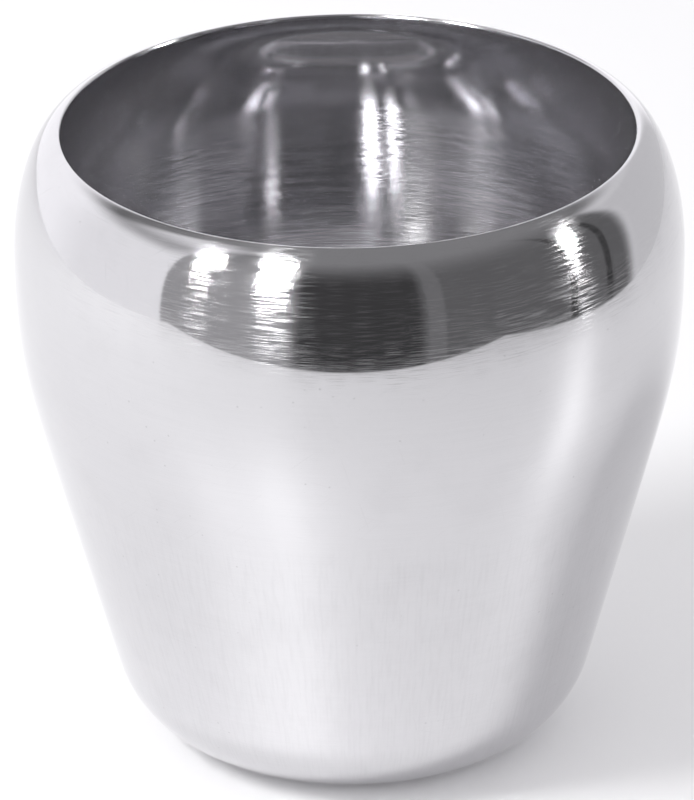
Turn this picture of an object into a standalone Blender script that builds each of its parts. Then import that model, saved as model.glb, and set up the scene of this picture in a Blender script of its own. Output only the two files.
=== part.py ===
"""Shaving mug: one cup without a handle, drawn and spun from a single disc of stainless steel sheet.

Units are metres and +Z is up. The origin is the centre of the underside, where the mug stands.
The outside is turned from a profile that runs from the rim down to the base. The inside is that
profile moved in by the thickness of the sheet, as it is on a real drawn cup.
"""

import math

import bpy
from mathutils import Vector
from mathutils.geometry import interpolate_bezier

# Driving dimensions
HEIGHT = 0.0875
SHEET_THICKNESS = 0.0006
MOUTH_DIAMETER = 0.0770  # between the inner edges of the rim
WIDEST_DIAMETER = 0.0900
WIDEST_BELOW_RIM = 0.0170
TAPER_TOP_DIAMETER = 0.0816  # where the curved side becomes a straight cone
TAPER_TOP_BELOW_RIM = 0.0455
TAPER_ANGLE = math.radians(15.4)  # between the cone's side and the axis
BASE_CORNER_RADIUS = 0.0148
RIM_LEAN = math.radians(75.0)  # how far the sheet at the rim leans in from upright

# How strongly each end of a curve pulls: the lengths of its Bezier handles
SHOULDER_PULL_AT_RIM = 0.0038
SHOULDER_PULL_AT_WIDEST = 0.0076
SIDE_PULL_AT_WIDEST = 0.0130
SIDE_PULL_AT_TAPER = 0.0108

# How finely the profile is divided
TURN_STEPS = 64
SHOULDER_POINTS = 10
SIDE_POINTS = 7
CORNER_STEPS = 6
RIM_STEPS = 4
AXIS_MERGE = 0.00001

STEEL_COLOUR = (0.66, 0.655, 0.66, 1.0)
STEEL_ROUGHNESS = 0.15


def clear_scene():
    for obj in list(bpy.data.objects):
        bpy.data.objects.remove(obj, do_unlink=True)


def curve_points(start, start_pull, end_pull, end, count):
    """Points along a cubic Bezier in the profile's plane, as (radius, height) vectors."""
    return interpolate_bezier(start, start + start_pull, end - end_pull, end, count)


def corner_points(start, start_normal, radius, steps):
    """An arc that leaves the cone smoothly and ends level, on the base."""
    centre = start - radius * start_normal
    first_angle = math.atan2(start_normal.y, start_normal.x)
    last_angle = -math.pi / 2
    points = []
    for step in range(1, steps + 1):
        angle = first_angle + (last_angle - first_angle) * step / steps
        points.append(centre + radius * Vector((math.cos(angle), math.sin(angle))))
    return points


def outer_profile():
    """The outside from the rim down to the middle of the base, as (radius, height) vectors."""
    # The sheet's edge is half round, so its outer side starts just outside and just below the rim.
    half_sheet = SHEET_THICKNESS / 2
    rim = Vector(
        (
            MOUTH_DIAMETER / 2 + half_sheet * (1 + math.cos(RIM_LEAN)),
            HEIGHT - half_sheet * (1 - math.sin(RIM_LEAN)),
        )
    )
    widest = Vector((WIDEST_DIAMETER / 2, HEIGHT - WIDEST_BELOW_RIM))
    taper_top = Vector((TAPER_TOP_DIAMETER / 2, HEIGHT - TAPER_TOP_BELOW_RIM))

    out_from_rim = Vector((math.sin(RIM_LEAN), -math.cos(RIM_LEAN)))
    down = Vector((0.0, -1.0))
    down_the_cone = Vector((-math.sin(TAPER_ANGLE), -math.cos(TAPER_ANGLE)))
    out_of_the_cone = Vector((math.cos(TAPER_ANGLE), -math.sin(TAPER_ANGLE)))

    shoulder = curve_points(
        rim,
        SHOULDER_PULL_AT_RIM * out_from_rim,
        SHOULDER_PULL_AT_WIDEST * down,
        widest,
        SHOULDER_POINTS,
    )
    side = curve_points(
        widest,
        SIDE_PULL_AT_WIDEST * down,
        SIDE_PULL_AT_TAPER * down_the_cone,
        taper_top,
        SIDE_POINTS,
    )
    # The corner's centre is one radius above the base, which fixes where the cone ends.
    corner_start_height = BASE_CORNER_RADIUS * (1 + out_of_the_cone.y)
    cone_length = (corner_start_height - taper_top.y) / down_the_cone.y
    cone_end = taper_top + cone_length * down_the_cone
    corner = corner_points(cone_end, out_of_the_cone, BASE_CORNER_RADIUS, CORNER_STEPS)
    return shoulder + side[1:] + [cone_end] + corner + [Vector((0.0, 0.0))]


def moved_in(profile, distance):
    """The profile moved to its inner side, each point along the bisector of its two segments."""
    normals = []
    for start, end in zip(profile, profile[1:]):
        along = (end - start).normalized()
        normals.append(Vector((-along.y, along.x)))
    moved = [profile[0] - distance * normals[0]]
    for point, before, after in zip(profile[1:-1], normals, normals[1:]):
        bisector = (before + after).normalized()
        moved.append(point - distance / bisector.dot(before) * bisector)
    moved.append(profile[-1] - distance * normals[-1])
    return moved


def rim_arc(inner_end, outer_end, steps):
    """The half-round edge of the sheet, from just after its inner end to just before its outer end."""
    centre = (inner_end + outer_end) / 2
    spoke = inner_end - centre
    points = []
    for step in range(1, steps):
        angle = -math.pi * step / steps
        points.append(
            centre
            + Vector(
                (
                    spoke.x * math.cos(angle) - spoke.y * math.sin(angle),
                    spoke.x * math.sin(angle) + spoke.y * math.cos(angle),
                )
            )
        )
    return points


def sheet_section():
    """The whole cut sheet: up the inside from the axis, over the rim and down the outside."""
    outside = outer_profile()
    inside = moved_in(outside, SHEET_THICKNESS)
    return inside[::-1] + rim_arc(inside[0], outside[0], RIM_STEPS) + outside


def steel_material():
    material = bpy.data.materials.new("polished_steel")
    material.use_nodes = True
    shader = material.node_tree.nodes["Principled BSDF"]
    shader.inputs["Base Color"].default_value = STEEL_COLOUR
    shader.inputs["Metallic"].default_value = 1.0
    shader.inputs["Roughness"].default_value = STEEL_ROUGHNESS
    material.diffuse_color = STEEL_COLOUR
    return material


def turned_object(name, section, material, collection):
    """A full turn of the section about +Z, which closes on itself at the axis."""
    mesh = bpy.data.meshes.new(name)
    corners = [(point.x, 0.0, point.y) for point in section]
    edges = [(index, index + 1) for index in range(len(corners) - 1)]
    mesh.from_pydata(corners, edges, [])
    mesh.materials.append(material)
    obj = bpy.data.objects.new(name, mesh)
    collection.objects.link(obj)
    screw = obj.modifiers.new("full_turn", "SCREW")
    screw.axis = "Z"
    screw.steps = TURN_STEPS
    screw.render_steps = TURN_STEPS
    screw.use_merge_vertices = True
    screw.merge_threshold = AXIS_MERGE
    screw.use_smooth_shade = True
    return obj


def build_mug():
    collection = bpy.data.collections.new("Shaving_Mug")
    bpy.context.scene.collection.children.link(collection)
    turned_object("mug_body", sheet_section(), steel_material(), collection)


clear_scene()
build_mug()
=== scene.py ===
"""Shaving mug: the looks of one polished stainless steel cup, on a white studio table.

Everything is in metres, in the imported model's frame: +Z is up and the origin is the
centre of the underside. The mug is one turned surface with three finishes, for its
outside, its inside and the cut edge of its sheet at the rim.
"""

import math

import bpy
from mathutils import Euler, Matrix, Vector
from mathutils.geometry import interpolate_bezier


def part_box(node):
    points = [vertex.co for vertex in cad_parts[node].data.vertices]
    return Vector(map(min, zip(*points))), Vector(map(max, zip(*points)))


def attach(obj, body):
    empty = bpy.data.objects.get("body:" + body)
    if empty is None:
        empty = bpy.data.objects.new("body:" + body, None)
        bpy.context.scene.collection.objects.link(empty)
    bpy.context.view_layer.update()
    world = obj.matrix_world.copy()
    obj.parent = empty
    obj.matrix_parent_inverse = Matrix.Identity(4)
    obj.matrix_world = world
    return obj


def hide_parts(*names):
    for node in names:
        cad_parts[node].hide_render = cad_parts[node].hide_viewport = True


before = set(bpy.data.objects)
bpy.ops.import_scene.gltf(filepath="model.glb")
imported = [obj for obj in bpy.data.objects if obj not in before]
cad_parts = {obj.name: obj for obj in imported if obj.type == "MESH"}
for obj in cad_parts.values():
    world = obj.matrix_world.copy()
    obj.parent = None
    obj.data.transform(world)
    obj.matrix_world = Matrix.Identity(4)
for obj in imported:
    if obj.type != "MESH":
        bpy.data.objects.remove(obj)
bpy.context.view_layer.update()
mug_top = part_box("mug_body")[1]

# The mug's driving dimensions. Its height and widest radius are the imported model's.
RIM_HEIGHT = mug_top.z
WIDEST_RADIUS = mug_top.x
SHEET_THICKNESS = 0.0006
MOUTH_DIAMETER = 0.0770  # between the inner edges of the rim
WIDEST_BELOW_RIM = 0.0170
TAPER_TOP_DIAMETER = 0.0816  # where the curved side becomes a straight cone
TAPER_TOP_BELOW_RIM = 0.0455
TAPER_ANGLE = math.radians(15.4)  # between the cone's side and the axis
BASE_CORNER_RADIUS = 0.0148
RIM_LEAN = math.radians(75.0)  # how far the sheet at the rim leans in from upright
SHOULDER_PULL_AT_RIM = 0.0038
SHOULDER_PULL_AT_WIDEST = 0.0076
SIDE_PULL_AT_WIDEST = 0.0130
SIDE_PULL_AT_TAPER = 0.0108

# How finely the surface is divided
TURN_STEPS = 384
SHOULDER_POINTS = 40
SIDE_POINTS = 24
CONE_POINTS = 16
CORNER_STEPS = 22
BASE_RINGS = 6
RIM_STEPS = 8

# Finishes, which are also the mesh's material slots
OUTSIDE, RIM, INSIDE = range(3)
ALONG = "along"  # mesh attribute: metres along the section, from inside to outside

STEEL = (0.657, 0.653, 0.668, 1.0)
# Lighter than STEEL: painted light, standing in for the light that bounces round inside
# the cup
STEEL_WITH_PAINTED_INNER_LIGHT = (0.695, 0.691, 0.706, 1.0)
DULL_STEEL = (0.42, 0.415, 0.43, 1.0)

# Each finish. A pair is for the side and base, then for the shoulder above them.
# polish: roughness between the turned grooves
# groove: roughness of the deepest grooves
# grooving: how strongly the grooves show
# rarity: higher where most grooves are shallow
# lines: grooves to a metre along the section
# lean: how far grooves lean to either side, as a slope
# streaks: how many lengths of groove make a turn
# groove_depth, dent_depth: in microns
# pits, scratches: how strongly they show
# grain, line_tint: how much greyer the drawn grain and the lines are
# colour, metallic: of the steel where nothing marks it
FINISHES = {
    "outside": {
        "polish": (0.030, 0.022),
        "groove": 0.235,
        "grooving": (0.3, 1.0),
        "rarity": 5.0,
        "lines": 36000.0,
        "lean": 0.014,
        "streaks": 75.0,
        "groove_depth": 0.05,
        "dent_depth": 5.0,
        "pits": 0.5,
        "scratches": 0.15,
        "grain": 0.13,
        "line_tint": 0.07,
        "colour": STEEL,
        "metallic": 1.0,
    },
    "rim": {
        "polish": (0.10, 0.10),
        "groove": 0.30,
        "grooving": (1.0, 1.0),
        "rarity": 1.5,
        "lines": 20000.0,
        "lean": 0.04,
        "streaks": 60.0,
        "groove_depth": 0.3,
        "dent_depth": 12.0,
        "pits": 0.5,
        "scratches": 0.3,
        "grain": 0.0,
        "line_tint": 0.0,
        "colour": STEEL,
        "metallic": 1.0,
    },
    "inside": {
        "polish": (0.070, 0.030),
        "groove": 0.15,
        "grooving": (1.0, 0.35),
        "rarity": 1.3,
        "lines": 22000.0,
        "lean": 0.042,
        "streaks": 105.0,
        "groove_depth": 0.05,
        "dent_depth": 3.0,
        "pits": 0.4,
        "scratches": 0.15,
        "grain": 0.0,
        "line_tint": 0.6,
        # The lighter colour is painted light for the light bounced round inside the
        # cup; the lower metallic adds an even lift for the same light
        "colour": STEEL_WITH_PAINTED_INNER_LIGHT,
        "metallic": 0.92,
    },
}
MICRON = 0.000001
GROOVE_TURN = 0.25  # the anisotropy's turn that draws highlights out across the grooves
SHOULDER_FADE = 0.004  # above and below the widest part

# The lines that make up the grooves. Here and below, the first of a pair of EDGES is
# where a mark begins and the second is where it is full.
GROOVE_EDGES = (0.27, 0.73)
BROAD_PITCH = 0.28  # lines of the wider grooves for each fine one
BROAD_LENGTH = 3.0  # times as long as the fine ones
BROAD_SHARE = 0.10  # of the wider grooves among the fine ones
PATCHES = (9.0, 90.0)  # to a turn and to a metre along the section
PATCH_EDGES = (0.2, 0.6)
PATCH_LEAST = 0.6  # how strongly the grooves show where they are faintest
DULL_LINE_EDGES = (0.5, 0.9)
DULL_LINE_FINE = 0.4  # share of the fine lines in the dull ones
SHOULDER_CLEANER = 3.0  # how many times fainter the dull lines are on the shoulder

# The grain down the tapered part
GRAIN = (650.0, 220.0)  # to a turn and to a metre along the section
GRAIN_EDGES = (0.40, 0.80)
GRAIN_FADE = (-0.003, 0.006)  # from the top of the taper
GRAIN_DEPTH = 2.0  # in microns

# Dents, smudges, pits and scratches
DENTS_PER_METRE = 150.0
SMUDGES_PER_METRE = 110.0
SMUDGE_EDGES = (0.45, 0.75)
SMUDGED = 1.6  # how much rougher the polish is under a smudge
SMUDGE_TINT = 0.08
PITS_PER_METRE = 650.0
PIT_EDGES = (0.06, 0.13)  # full inside the first and gone at the second, in cells
PIT_CROWDS_PER_METRE = 60.0
PIT_CROWD_EDGES = (0.45, 0.75)
PIT_SHARE = (0.03, 0.5)  # of the cells, where pits are rare and where they crowd
SCRATCH_SETS = ((18.0, 3.0), (-38.0, 11.0), (74.0, 23.0))  # slope in degrees, offset
SCRATCH_RADIUS = 0.045  # turns an angle round the mug into metres
SCRATCHES_LONG = 130.0  # noise cells to a metre along a scratch
SCRATCHES_WIDE = 5000.0  # and across it
SCRATCH_EDGES = (0.76, 0.84)
SCRATCH_BENDS = 25.0  # to a metre
SCRATCH_BEND = 0.004  # how far, in metres
SCRATCH_ROUGHNESS = 0.20
SCRATCH_DEPTH = 0.6  # in microns

# What keeps one noise apart from another
GRAIN_OFFSET = 3.0
BROAD_OFFSET = 7.0
PATCH_OFFSET = 13.0
LEAN_OFFSET = 31.0

# The studio. Angles are in degrees. Azimuth 0 is the camera's side, 90 to its right.
STUDIO_WHITE = (0.995, 0.985, 1.015, 1.0)
ROOM = (22.0, 26.0, 0.060, 0.15)  # between its two halves, and their brightnesses
ROOM_PANELS = (  # from, to, softness, brightness
    (-72.0, -20.0, 8.0, 0.42),
    (26.0, 32.0, 1.0, 0.20),
    (79.0, 82.0, 1.0, 0.06),
    (96.0, 99.0, 1.0, 0.06),
)
SCREENS = (  # from, to, softness, top, brightness
    (-200.0, -66.0, 1.5, 36.0, 1.1),
    (-220.0, -115.0, 30.0, 36.0, 1.3),
    (112.0, 220.0, 8.0, 36.0, 1.3),
    (110.0, 162.0, 10.0, 36.0, 0.72),
)
SCREEN_FADE = 10.0  # above and below a screen's top
CEILING = (0.29, 0.95)  # over most of the room, and over its bright side
CEILING_RISE = (25.0, 62.0)  # elevations between which the room turns to the ceiling
BRIGHT_SIDE = (-118.0, -64.0, 24.0)  # from, to, softness
BRIGHT_SIDE_TOP = (58.0, 76.0)  # elevations between which it fades
TENT = 0.82  # what lights the table top, from all round
BACKDROP = 1.05
LAMPS = (  # name, azimuth, elevation, distance, width, height, radiance
    ("lamp_left", -56.0, 36.5, 0.28, 0.026, 0.095, 180.0),
    ("lamp_front", -28.5, 37.5, 0.28, 0.043, 0.130, 180.0),
    ("lamp_right", 85.0, 21.0, 0.42, 0.032, 0.056, 400.0),
)
SHOULDER_RADIUS = 0.036  # this and the next: where the shoulder mirrors the lamps
SHOULDER_BELOW_RIM = 0.008
KEY_FROM = (-55.0, 50.0)
KEY_AIM = (-0.22, 0.05, 0.0)
KEY_DISTANCE = 1.2
KEY_SIDE = 0.40
KEY_SPREAD = math.radians(60.0)
KEY_RADIANCE = 2.6
TABLE_EDGES = (-0.45, 0.30, -0.255, 0.60)  # left, right, front, back
TABLE_WHITE = (0.88, 0.88, 0.88, 1.0)
TABLE_SHINE = 0.15
TABLE_ROUGHNESS = 0.45
MIRROR_BOUNCES = 12

SENSOR_WIDTH = 36.0
LENS = 448.5
CAMERA_DISTANCE = 1.3475
CAMERA_TILT = math.radians(25.25)
CAMERA_ROLL = math.radians(-0.667)
CAMERA_SIDEWAYS = -0.00056
CAMERA_RAISE = -0.04014  # of the point it looks at, from the rim


# ---------------------------------------------------------------- shape


def curve_points(start, start_pull, end_pull, end, count):
    """Points along a cubic Bezier in the profile's plane, as (radius, height)."""
    return interpolate_bezier(start, start + start_pull, end - end_pull, end, count)


def line_points(start, end, steps):
    """The points after start, up to and including end."""
    return [start.lerp(end, step / steps) for step in range(1, steps + 1)]


def corner_points(start, start_normal, radius, steps):
    """An arc that leaves the cone smoothly and ends level, on the base."""
    centre = start - radius * start_normal
    first_angle = math.atan2(start_normal.y, start_normal.x)
    last_angle = -math.pi / 2
    points = []
    for step in range(1, steps + 1):
        angle = first_angle + (last_angle - first_angle) * step / steps
        points.append(centre + radius * Vector((math.cos(angle), math.sin(angle))))
    return points


def outer_profile(height, widest_radius):
    """The outside from the rim to the middle of the base, as (radius, height)."""
    half_sheet = SHEET_THICKNESS / 2
    rim = Vector(
        (
            MOUTH_DIAMETER / 2 + half_sheet * (1 + math.cos(RIM_LEAN)),
            height - half_sheet * (1 - math.sin(RIM_LEAN)),
        )
    )
    widest = Vector((widest_radius, height - WIDEST_BELOW_RIM))
    taper_top = Vector((TAPER_TOP_DIAMETER / 2, height - TAPER_TOP_BELOW_RIM))
    out_from_rim = Vector((math.sin(RIM_LEAN), -math.cos(RIM_LEAN)))
    down = Vector((0.0, -1.0))
    down_the_cone = Vector((-math.sin(TAPER_ANGLE), -math.cos(TAPER_ANGLE)))
    out_of_the_cone = Vector((math.cos(TAPER_ANGLE), -math.sin(TAPER_ANGLE)))

    shoulder = curve_points(
        rim,
        SHOULDER_PULL_AT_RIM * out_from_rim,
        SHOULDER_PULL_AT_WIDEST * down,
        widest,
        SHOULDER_POINTS,
    )
    side = curve_points(
        widest,
        SIDE_PULL_AT_WIDEST * down,
        SIDE_PULL_AT_TAPER * down_the_cone,
        taper_top,
        SIDE_POINTS,
    )
    corner_start_height = BASE_CORNER_RADIUS * (1 + out_of_the_cone.y)
    cone_length = (corner_start_height - taper_top.y) / down_the_cone.y
    cone_end = taper_top + cone_length * down_the_cone
    cone = line_points(taper_top, cone_end, CONE_POINTS)
    corner = corner_points(cone_end, out_of_the_cone, BASE_CORNER_RADIUS, CORNER_STEPS)
    base = line_points(corner[-1], Vector((0.0, 0.0)), BASE_RINGS)
    return shoulder + side[1:] + cone + corner + base


def moved_in(profile, distance):
    """The profile moved to its inner side, each point along its segments' bisector."""
    normals = []
    for start, end in zip(profile, profile[1:]):
        along = (end - start).normalized()
        normals.append(Vector((-along.y, along.x)))
    moved = [profile[0] - distance * normals[0]]
    for point, before, after in zip(profile[1:-1], normals, normals[1:]):
        bisector = (before + after).normalized()
        moved.append(point - distance / bisector.dot(before) * bisector)
    moved.append(profile[-1] - distance * normals[-1])
    return moved


def rim_arc(inner_end, outer_end, steps):
    """The half-round edge of the sheet, inner to outer, without its two ends."""
    centre = (inner_end + outer_end) / 2
    spoke = inner_end - centre
    return [
        centre + Matrix.Rotation(-math.pi * step / steps, 2) @ spoke
        for step in range(1, steps)
    ]


def turned_mug(name, outside):
    """The whole sheet turned about +Z, with its finishes by face and ALONG by point."""
    inside = moved_in(outside, SHEET_THICKNESS)[::-1]
    edge = rim_arc(inside[-1], outside[0], RIM_STEPS)
    section = inside + edge + outside
    finishes = (
        [INSIDE] * (len(inside) - 1)
        + [RIM] * (len(edge) + 1)
        + [OUTSIDE] * (len(outside) - 1)
    )
    travelled = [0.0]
    for before, after in zip(section, section[1:]):
        travelled.append(travelled[-1] + (after - before).length)

    rings = section[1:-1]
    vertices = [(0.0, 0.0, section[0].y)]
    along = [travelled[0]]
    for ring, distance in zip(rings, travelled[1:-1]):
        for step in range(TURN_STEPS):
            angle = 2 * math.pi * step / TURN_STEPS
            x, y = ring.x * math.cos(angle), ring.x * math.sin(angle)
            vertices.append((x, y, ring.y))
            along.append(distance)
    vertices.append((0.0, 0.0, section[-1].y))
    along.append(travelled[-1])

    faces = []
    materials = []
    for step in range(TURN_STEPS):
        after = (step + 1) % TURN_STEPS
        faces.append((0, 1 + step, 1 + after))
        materials.append(finishes[0])
    for ring in range(len(rings) - 1):
        here = 1 + ring * TURN_STEPS
        there = here + TURN_STEPS
        for step in range(TURN_STEPS):
            after = (step + 1) % TURN_STEPS
            faces.append((here + step, there + step, there + after, here + after))
            materials.append(finishes[ring + 1])
    last_ring = 1 + (len(rings) - 1) * TURN_STEPS
    for step in range(TURN_STEPS):
        after = (step + 1) % TURN_STEPS
        faces.append((last_ring + after, last_ring + step, len(vertices) - 1))
        materials.append(finishes[-1])

    mesh = bpy.data.meshes.new(name)
    mesh.from_pydata(vertices, [], faces)
    mesh.polygons.foreach_set("material_index", materials)
    mesh.polygons.foreach_set("use_smooth", [True] * len(faces))
    mesh.attributes.new(ALONG, "FLOAT", "POINT").data.foreach_set("value", along)
    mesh.update()
    mug = bpy.data.objects.new(name, mesh)
    bpy.context.scene.collection.objects.link(mug)
    return mug


# ---------------------------------------------------------------- nodes


class Tree:
    """Adds nodes to a node tree. Each input is a socket to link or a value to set."""

    def __init__(self, tree):
        self.tree = tree

    def node(self, kind, inputs=(), **settings):
        made = self.tree.nodes.new(kind)
        for name, value in settings.items():
            setattr(made, name, value)
        for name, value in dict(inputs).items():
            self.feed(made.inputs[name], value)
        return made

    def feed(self, socket, value):
        if isinstance(value, bpy.types.NodeSocket):
            self.tree.links.new(value, socket)
        else:
            socket.default_value = value

    def math(self, operation, *values):
        made = self.tree.nodes.new("ShaderNodeMath")
        made.operation = operation
        for socket, value in zip(made.inputs, values):
            self.feed(socket, value)
        return made.outputs[0]

    def step(self, value, start, end, low=0.0, high=1.0):
        """Smoothly low before start and high after end."""
        made = self.node(
            "ShaderNodeMapRange",
            {
                "Value": value,
                "From Min": start,
                "From Max": end,
                "To Min": low,
                "To Max": high,
            },
            interpolation_type="SMOOTHSTEP",
        )
        return made.outputs["Result"]

    def between(self, value, start, end, soft):
        """1 between start and end, falling to 0 over soft at each side."""
        rise = self.step(value, start - soft / 2, start + soft / 2)
        fall = self.step(value, end - soft / 2, end + soft / 2, 1.0, 0.0)
        return self.math("MULTIPLY", rise, fall)

    def blend(self, factor, low, high):
        """low where factor is 0 and high where it is 1."""
        made = self.node(
            "ShaderNodeMix", {"Factor": factor, "A": low, "B": high}, data_type="FLOAT"
        )
        return made.outputs["Result"]

    def colour_blend(self, factor, low, high):
        """As blend, for colours. The sockets are by number, since kinds share names."""
        made = self.node(
            "ShaderNodeMix", {0: factor, 6: low, 7: high}, data_type="RGBA"
        )
        return made.outputs[2]

    def vector(self, x, y, z):
        return self.node("ShaderNodeCombineXYZ", {"X": x, "Y": y, "Z": z}).outputs[0]

    def noise(self, vector, scale=1.0, detail=0.0, roughness=0.5):
        made = self.node(
            "ShaderNodeTexNoise",
            {
                "Vector": vector,
                "Scale": scale,
                "Detail": detail,
                "Roughness": roughness,
            },
        )
        return made.outputs["Fac"]


# ---------------------------------------------------------------- steel


class SteelTree(Tree):
    """A steel material's tree, with coordinates round the mug and along its section."""

    def __init__(self, name):
        self.material = bpy.data.materials.new(name)
        self.material.use_nodes = True
        self.material.diffuse_color = STEEL
        super().__init__(self.material.node_tree)
        self.shader = self.tree.nodes["Principled BSDF"]
        self.place = self.node("ShaderNodeTexCoord").outputs["Object"]
        split = self.node("ShaderNodeSeparateXYZ", {"Vector": self.place})
        x, y, self.height = split.outputs
        outward = self.node(
            "ShaderNodeVectorMath",
            {"Vector": self.vector(x, y, 0.0)},
            operation="NORMALIZE",
        )
        facing = self.node("ShaderNodeSeparateXYZ", {"Vector": outward.outputs[0]})
        self.cosine = facing.outputs["X"]
        self.sine = facing.outputs["Y"]
        self.along = self.node(
            "ShaderNodeAttribute", attribute_name=ALONG, attribute_type="GEOMETRY"
        ).outputs["Fac"]
        # The join of this coordinate is at the back, on the +Y side.
        self.around = self.math(
            "MULTIPLY",
            self.math("ARCTAN2", x, self.math("MULTIPLY", y, -1.0)),
            SCRATCH_RADIUS,
        )

    def turned_noise(self, streaks, per_metre, offset=0.0, detail=0.0):
        """Noise drawn out round the mug, by streaks to a turn and lines to a metre."""
        ring = streaks / (2 * math.pi)
        return self.noise(
            self.vector(
                self.math("MULTIPLY_ADD", self.cosine, ring, offset),
                self.math("MULTIPLY", self.sine, ring),
                self.math("MULTIPLY", self.along, per_metre),
            ),
            detail=detail,
        )

    def scratches(self, slope, offset):
        """Sparse fine lines that cross the surface at this slope, as 0 to 1."""
        lean = math.radians(slope)
        run = self.math(
            "ADD",
            self.math("MULTIPLY", self.around, math.cos(lean)),
            self.math("MULTIPLY", self.along, math.sin(lean)),
        )
        across = self.math(
            "SUBTRACT",
            self.math("MULTIPLY", self.along, math.cos(lean)),
            self.math("MULTIPLY", self.around, math.sin(lean)),
        )
        # A slow bend keeps the lines from looking ruled.
        bend = self.math(
            "MULTIPLY", self.noise(self.place, SCRATCH_BENDS), SCRATCH_BEND
        )
        lines = self.noise(
            self.vector(
                self.math("MULTIPLY_ADD", run, SCRATCHES_LONG, offset),
                self.math("MULTIPLY", self.math("ADD", across, bend), SCRATCHES_WIDE),
                offset,
            )
        )
        return self.step(lines, *SCRATCH_EDGES)

    def pits(self):
        """Tiny round pits, crowded in some places and rare in others, as 0 to 1."""
        cells = self.node(
            "ShaderNodeTexVoronoi",
            {"Vector": self.place, "Scale": PITS_PER_METRE},
        )
        chance = self.node("ShaderNodeSeparateColor", {"Color": cells.outputs["Color"]})
        crowding = self.noise(self.place, PIT_CROWDS_PER_METRE, 1.0)
        return self.math(
            "MULTIPLY",
            self.step(cells.outputs["Distance"], *PIT_EDGES, 1.0, 0.0),
            self.math(
                "LESS_THAN",
                chance.outputs[0],
                self.step(crowding, *PIT_CROWD_EDGES, *PIT_SHARE),
            ),
        )


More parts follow.
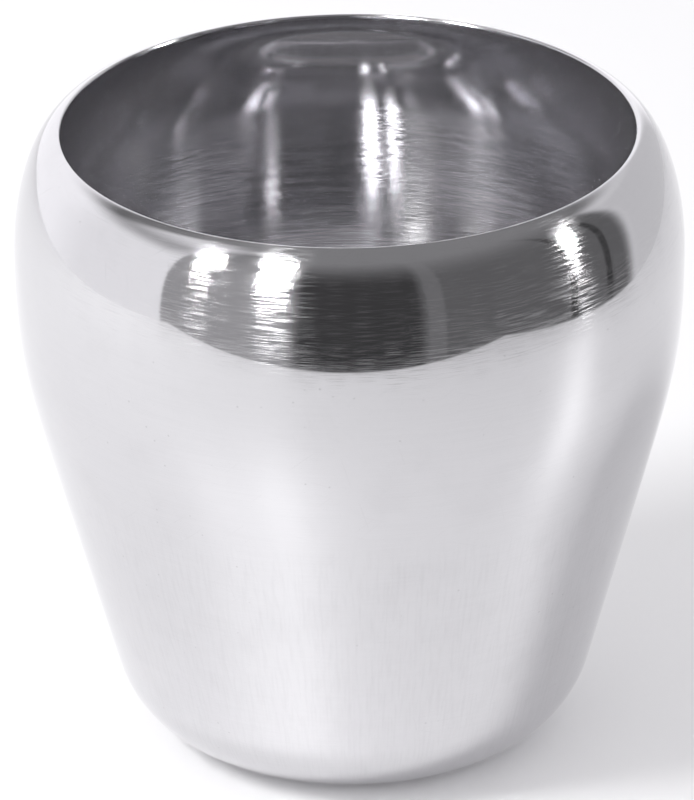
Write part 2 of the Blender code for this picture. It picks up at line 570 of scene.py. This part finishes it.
def steel(name, finish):
    """Stainless steel in one of FINISHES.

    Most of the surface is near a mirror. The turned grooves, finer than the eye can
    part, are rougher, and draw each highlight out across themselves.
    """
    tree = SteelTree(name)
    shoulder = tree.step(
        tree.height,
        RIM_HEIGHT - WIDEST_BELOW_RIM - SHOULDER_FADE,
        RIM_HEIGHT - WIDEST_BELOW_RIM + SHOULDER_FADE,
    )
    grooving = tree.blend(shoulder, *finish["grooving"])

    fine = tree.turned_noise(finish["streaks"], finish["lines"])
    broad = tree.turned_noise(
        finish["streaks"] / BROAD_LENGTH,
        BROAD_PITCH * finish["lines"],
        offset=BROAD_OFFSET,
        detail=1.0,
    )
    lines = tree.blend(BROAD_SHARE, fine, broad)
    patches = tree.turned_noise(*PATCHES, offset=PATCH_OFFSET, detail=2.0)
    strength = tree.step(patches, *PATCH_EDGES, PATCH_LEAST, 1.0)
    grooves = tree.math("POWER", tree.step(lines, *GROOVE_EDGES), finish["rarity"])
    grooves = tree.math("MULTIPLY", grooves, strength)
    grooves = tree.math("MULTIPLY", grooves, grooving)

    smudges = tree.noise(tree.place, SMUDGES_PER_METRE, detail=3.0, roughness=0.6)
    smudges = tree.step(smudges, *SMUDGE_EDGES)
    marks = tree.math("MULTIPLY", tree.pits(), finish["pits"])
    for slope, offset in SCRATCH_SETS:
        scratches = tree.scratches(slope, offset)
        scratches = tree.math("MULTIPLY", scratches, finish["scratches"])
        marks = tree.math("MAXIMUM", marks, scratches)

    # The tapered part keeps a grain that runs down it, from when it was drawn.
    taper_top = RIM_HEIGHT - TAPER_TOP_BELOW_RIM
    below_taper_top = tree.step(
        tree.height, *(taper_top + fade for fade in GRAIN_FADE), finish["grain"], 0.0
    )
    grain = tree.turned_noise(*GRAIN, offset=GRAIN_OFFSET, detail=2.0)
    grain = tree.math("MULTIPLY", tree.step(grain, *GRAIN_EDGES), below_taper_top)

    polish = tree.blend(shoulder, *finish["polish"])
    polish = tree.math("MULTIPLY", polish, tree.blend(smudges, 1.0, SMUDGED))
    roughness = tree.blend(grooves, polish, finish["groove"])
    roughness = tree.blend(marks, roughness, SCRATCH_ROUGHNESS)

    height = tree.math("MULTIPLY", lines, finish["groove_depth"])
    dents = tree.noise(tree.place, DENTS_PER_METRE, detail=1.0)
    height = tree.math("MULTIPLY_ADD", dents, finish["dent_depth"], height)
    height = tree.math("MULTIPLY_ADD", marks, -SCRATCH_DEPTH, height)
    height = tree.math("MULTIPLY_ADD", grain, GRAIN_DEPTH, height)
    bump = tree.node("ShaderNodeBump", {"Distance": MICRON, "Height": height})

    # Each groove also leans a little to one side or the other along its length.
    lean = tree.turned_noise(finish["streaks"], finish["lines"], offset=LEAN_OFFSET)
    lean = tree.math("MULTIPLY_ADD", lean, finish["lean"], -finish["lean"] / 2)
    lean = tree.math("MULTIPLY", lean, grooving)
    back = tree.math("MULTIPLY", tree.math("MULTIPLY", tree.sine, lean), -1.0)
    sideways = tree.vector(back, tree.math("MULTIPLY", tree.cosine, lean), 0.0)
    leaning = tree.node(
        "ShaderNodeVectorMath",
        {0: bump.outputs["Normal"], 1: sideways},
        operation="ADD",
    )
    normal = tree.node(
        "ShaderNodeVectorMath", {"Vector": leaning.outputs[0]}, operation="NORMALIZE"
    )

    dull_lines = tree.math("MULTIPLY_ADD", fine, DULL_LINE_FINE, broad)
    line_tint = tree.blend(
        shoulder, finish["line_tint"], finish["line_tint"] / SHOULDER_CLEANER
    )
    dullness = tree.math(
        "MULTIPLY", tree.step(dull_lines, *DULL_LINE_EDGES), line_tint
    )
    dullness = tree.math("MULTIPLY_ADD", smudges, SMUDGE_TINT, dullness)
    dullness = tree.math("ADD", dullness, grain)
    dullness = tree.math("MAXIMUM", marks, dullness)
    colour = tree.colour_blend(dullness, finish["colour"], DULL_STEEL)
    tangent = tree.node("ShaderNodeTangent", direction_type="RADIAL", axis="Z")

    shader = tree.shader.inputs
    tree.feed(shader["Base Color"], colour)
    tree.feed(shader["Roughness"], roughness)
    tree.feed(shader["Normal"], normal.outputs[0])
    tree.feed(shader["Tangent"], tangent.outputs["Tangent"])
    shader["Metallic"].default_value = finish["metallic"]
    shader["Anisotropic"].default_value = 1.0
    shader["Anisotropic Rotation"].default_value = GROOVE_TURN
    return tree.material


# ---------------------------------------------------------------- studio


def studio_world():
    """A dark room in front, white screens at the sides and back, and a grey ceiling."""
    world = bpy.data.worlds.new("studio")
    world.use_nodes = True
    world.node_tree.nodes.clear()
    tree = Tree(world.node_tree)
    direction = tree.node("ShaderNodeTexCoord").outputs["Generated"]
    split = tree.node("ShaderNodeSeparateXYZ", {"Vector": direction})
    x, y, z = split.outputs
    azimuth = tree.math(
        "DEGREES", tree.math("ARCTAN2", x, tree.math("MULTIPLY", y, -1.0))
    )
    elevation = tree.math("DEGREES", tree.math("ARCSINE", z))

    level = tree.step(azimuth, *ROOM)
    for start, end, soft, brightness in ROOM_PANELS:
        panel = tree.between(azimuth, start, end, soft)
        level = tree.blend(panel, level, brightness)
    bright_side = tree.math(
        "MULTIPLY",
        tree.between(azimuth, *BRIGHT_SIDE),
        tree.step(elevation, *BRIGHT_SIDE_TOP, 1.0, 0.0),
    )
    ceiling = tree.blend(bright_side, *CEILING)
    level = tree.blend(tree.step(elevation, *CEILING_RISE), level, ceiling)
    for start, end, soft, top, brightness in SCREENS:
        screen = tree.math(
            "MULTIPLY",
            tree.between(azimuth, start, end, soft),
            tree.step(elevation, top - SCREEN_FADE, top + SCREEN_FADE, 1.0, 0.0),
        )
        level = tree.blend(screen, level, brightness)

    # The camera sees a plain backdrop, and the table top is lit as in a light tent.
    path = tree.node("ShaderNodeLightPath")
    off_table = tree.math("MINIMUM", path.outputs["Diffuse Depth"], 1.0)
    level = tree.blend(off_table, level, TENT)
    level = tree.blend(path.outputs["Is Camera Ray"], level, BACKDROP)
    background = tree.node(
        "ShaderNodeBackground", {"Color": STUDIO_WHITE, "Strength": level}
    )
    output = tree.node("ShaderNodeOutputWorld")
    tree.feed(output.inputs["Surface"], background.outputs[0])
    bpy.context.scene.world = world


def direction_to(azimuth, elevation):
    """The direction from the mug: azimuth 0 is the camera's side, 90 to the right."""
    around, up = math.radians(azimuth), math.radians(elevation)
    return Vector(
        (
            math.sin(around) * math.cos(up),
            -math.cos(around) * math.cos(up),
            math.sin(up),
        )
    )


def area_light(name, location, towards, width, height, radiance):
    """A rectangle that shines back along towards, with this radiance all over."""
    light = bpy.data.lights.new(name, "AREA")
    light.shape = "RECTANGLE"
    light.size = width
    light.size_y = height
    light.energy = radiance * width * height * math.pi
    lamp = bpy.data.objects.new(name, light)
    lamp.location = location
    lamp.rotation_euler = towards.to_track_quat("Z", "Y").to_euler()
    lamp.visible_camera = False
    bpy.context.scene.collection.objects.link(lamp)
    return lamp


def studio_lamps(shoulder_height):
    """Three lamps that the shoulder mirrors, and one soft light for the table."""
    for name, azimuth, elevation, distance, width, height, radiance in LAMPS:
        mirrored_at = SHOULDER_RADIUS * direction_to(azimuth / 2, 0.0)
        mirrored_at.z = shoulder_height
        towards = direction_to(azimuth, elevation)
        lamp = area_light(
            name,
            mirrored_at + distance * towards,
            towards,
            width,
            height,
            radiance,
        )
        lamp.visible_diffuse = False
    towards = direction_to(*KEY_FROM)
    key = area_light(
        "key",
        Vector(KEY_AIM) + KEY_DISTANCE * towards,
        towards,
        KEY_SIDE,
        KEY_SIDE,
        KEY_RADIANCE,
    )
    key.data.spread = KEY_SPREAD
    key.visible_glossy = False


def table_top():
    """A white table top, just smooth enough to show soft glows of the lamps."""
    left, right, front, back = TABLE_EDGES
    mesh = bpy.data.meshes.new("table_top")
    corners = ((left, front), (right, front), (right, back), (left, back))
    mesh.from_pydata([(x, y, 0.0) for x, y in corners], [], [(0, 1, 2, 3)])
    top = bpy.data.objects.new("table_top", mesh)
    bpy.context.scene.collection.objects.link(top)
    material = bpy.data.materials.new("white_table")
    material.use_nodes = True
    shader = material.node_tree.nodes["Principled BSDF"]
    shader.inputs["Base Color"].default_value = TABLE_WHITE
    shader.inputs["Roughness"].default_value = TABLE_ROUGHNESS
    shader.inputs["Specular IOR Level"].default_value = TABLE_SHINE
    mesh.materials.append(material)


def long_lens_camera(rim_height):
    """A long lens in front of the mug, well above the rim, rolled a little."""
    data = bpy.data.cameras.new("camera")
    data.sensor_fit = "AUTO"
    data.sensor_width = SENSOR_WIDTH
    data.lens = LENS
    data.clip_end = 20.0
    viewer = bpy.data.objects.new("camera", data)
    viewer.location = (
        CAMERA_SIDEWAYS,
        -CAMERA_DISTANCE * math.cos(CAMERA_TILT),
        rim_height + CAMERA_DISTANCE * math.sin(CAMERA_TILT) + CAMERA_RAISE,
    )
    level = Euler((math.pi / 2 - CAMERA_TILT, 0.0, 0.0)).to_matrix()
    viewer.rotation_euler = (level @ Matrix.Rotation(CAMERA_ROLL, 3, "Z")).to_euler()
    bpy.context.scene.collection.objects.link(viewer)
    bpy.context.scene.camera = viewer


# ---------------------------------------------------------------- scene

mug = turned_mug("mug", outer_profile(RIM_HEIGHT, WIDEST_RADIUS))
for name in ("outside", "rim", "inside"):
    mug.data.materials.append(steel("steel_" + name, FINISHES[name]))
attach(mug, "root")
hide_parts("mug_body")

studio_world()
studio_lamps(RIM_HEIGHT - SHOULDER_BELOW_RIM)
table_top()
long_lens_camera(RIM_HEIGHT)
bpy.context.scene.view_settings.view_transform = "Standard"
bpy.context.scene.cycles.max_bounces = MIRROR_BOUNCES
bpy.context.scene.cycles.glossy_bounces = MIRROR_BOUNCES
bpy.context.scene.cycles.blur_glossy = 0.0
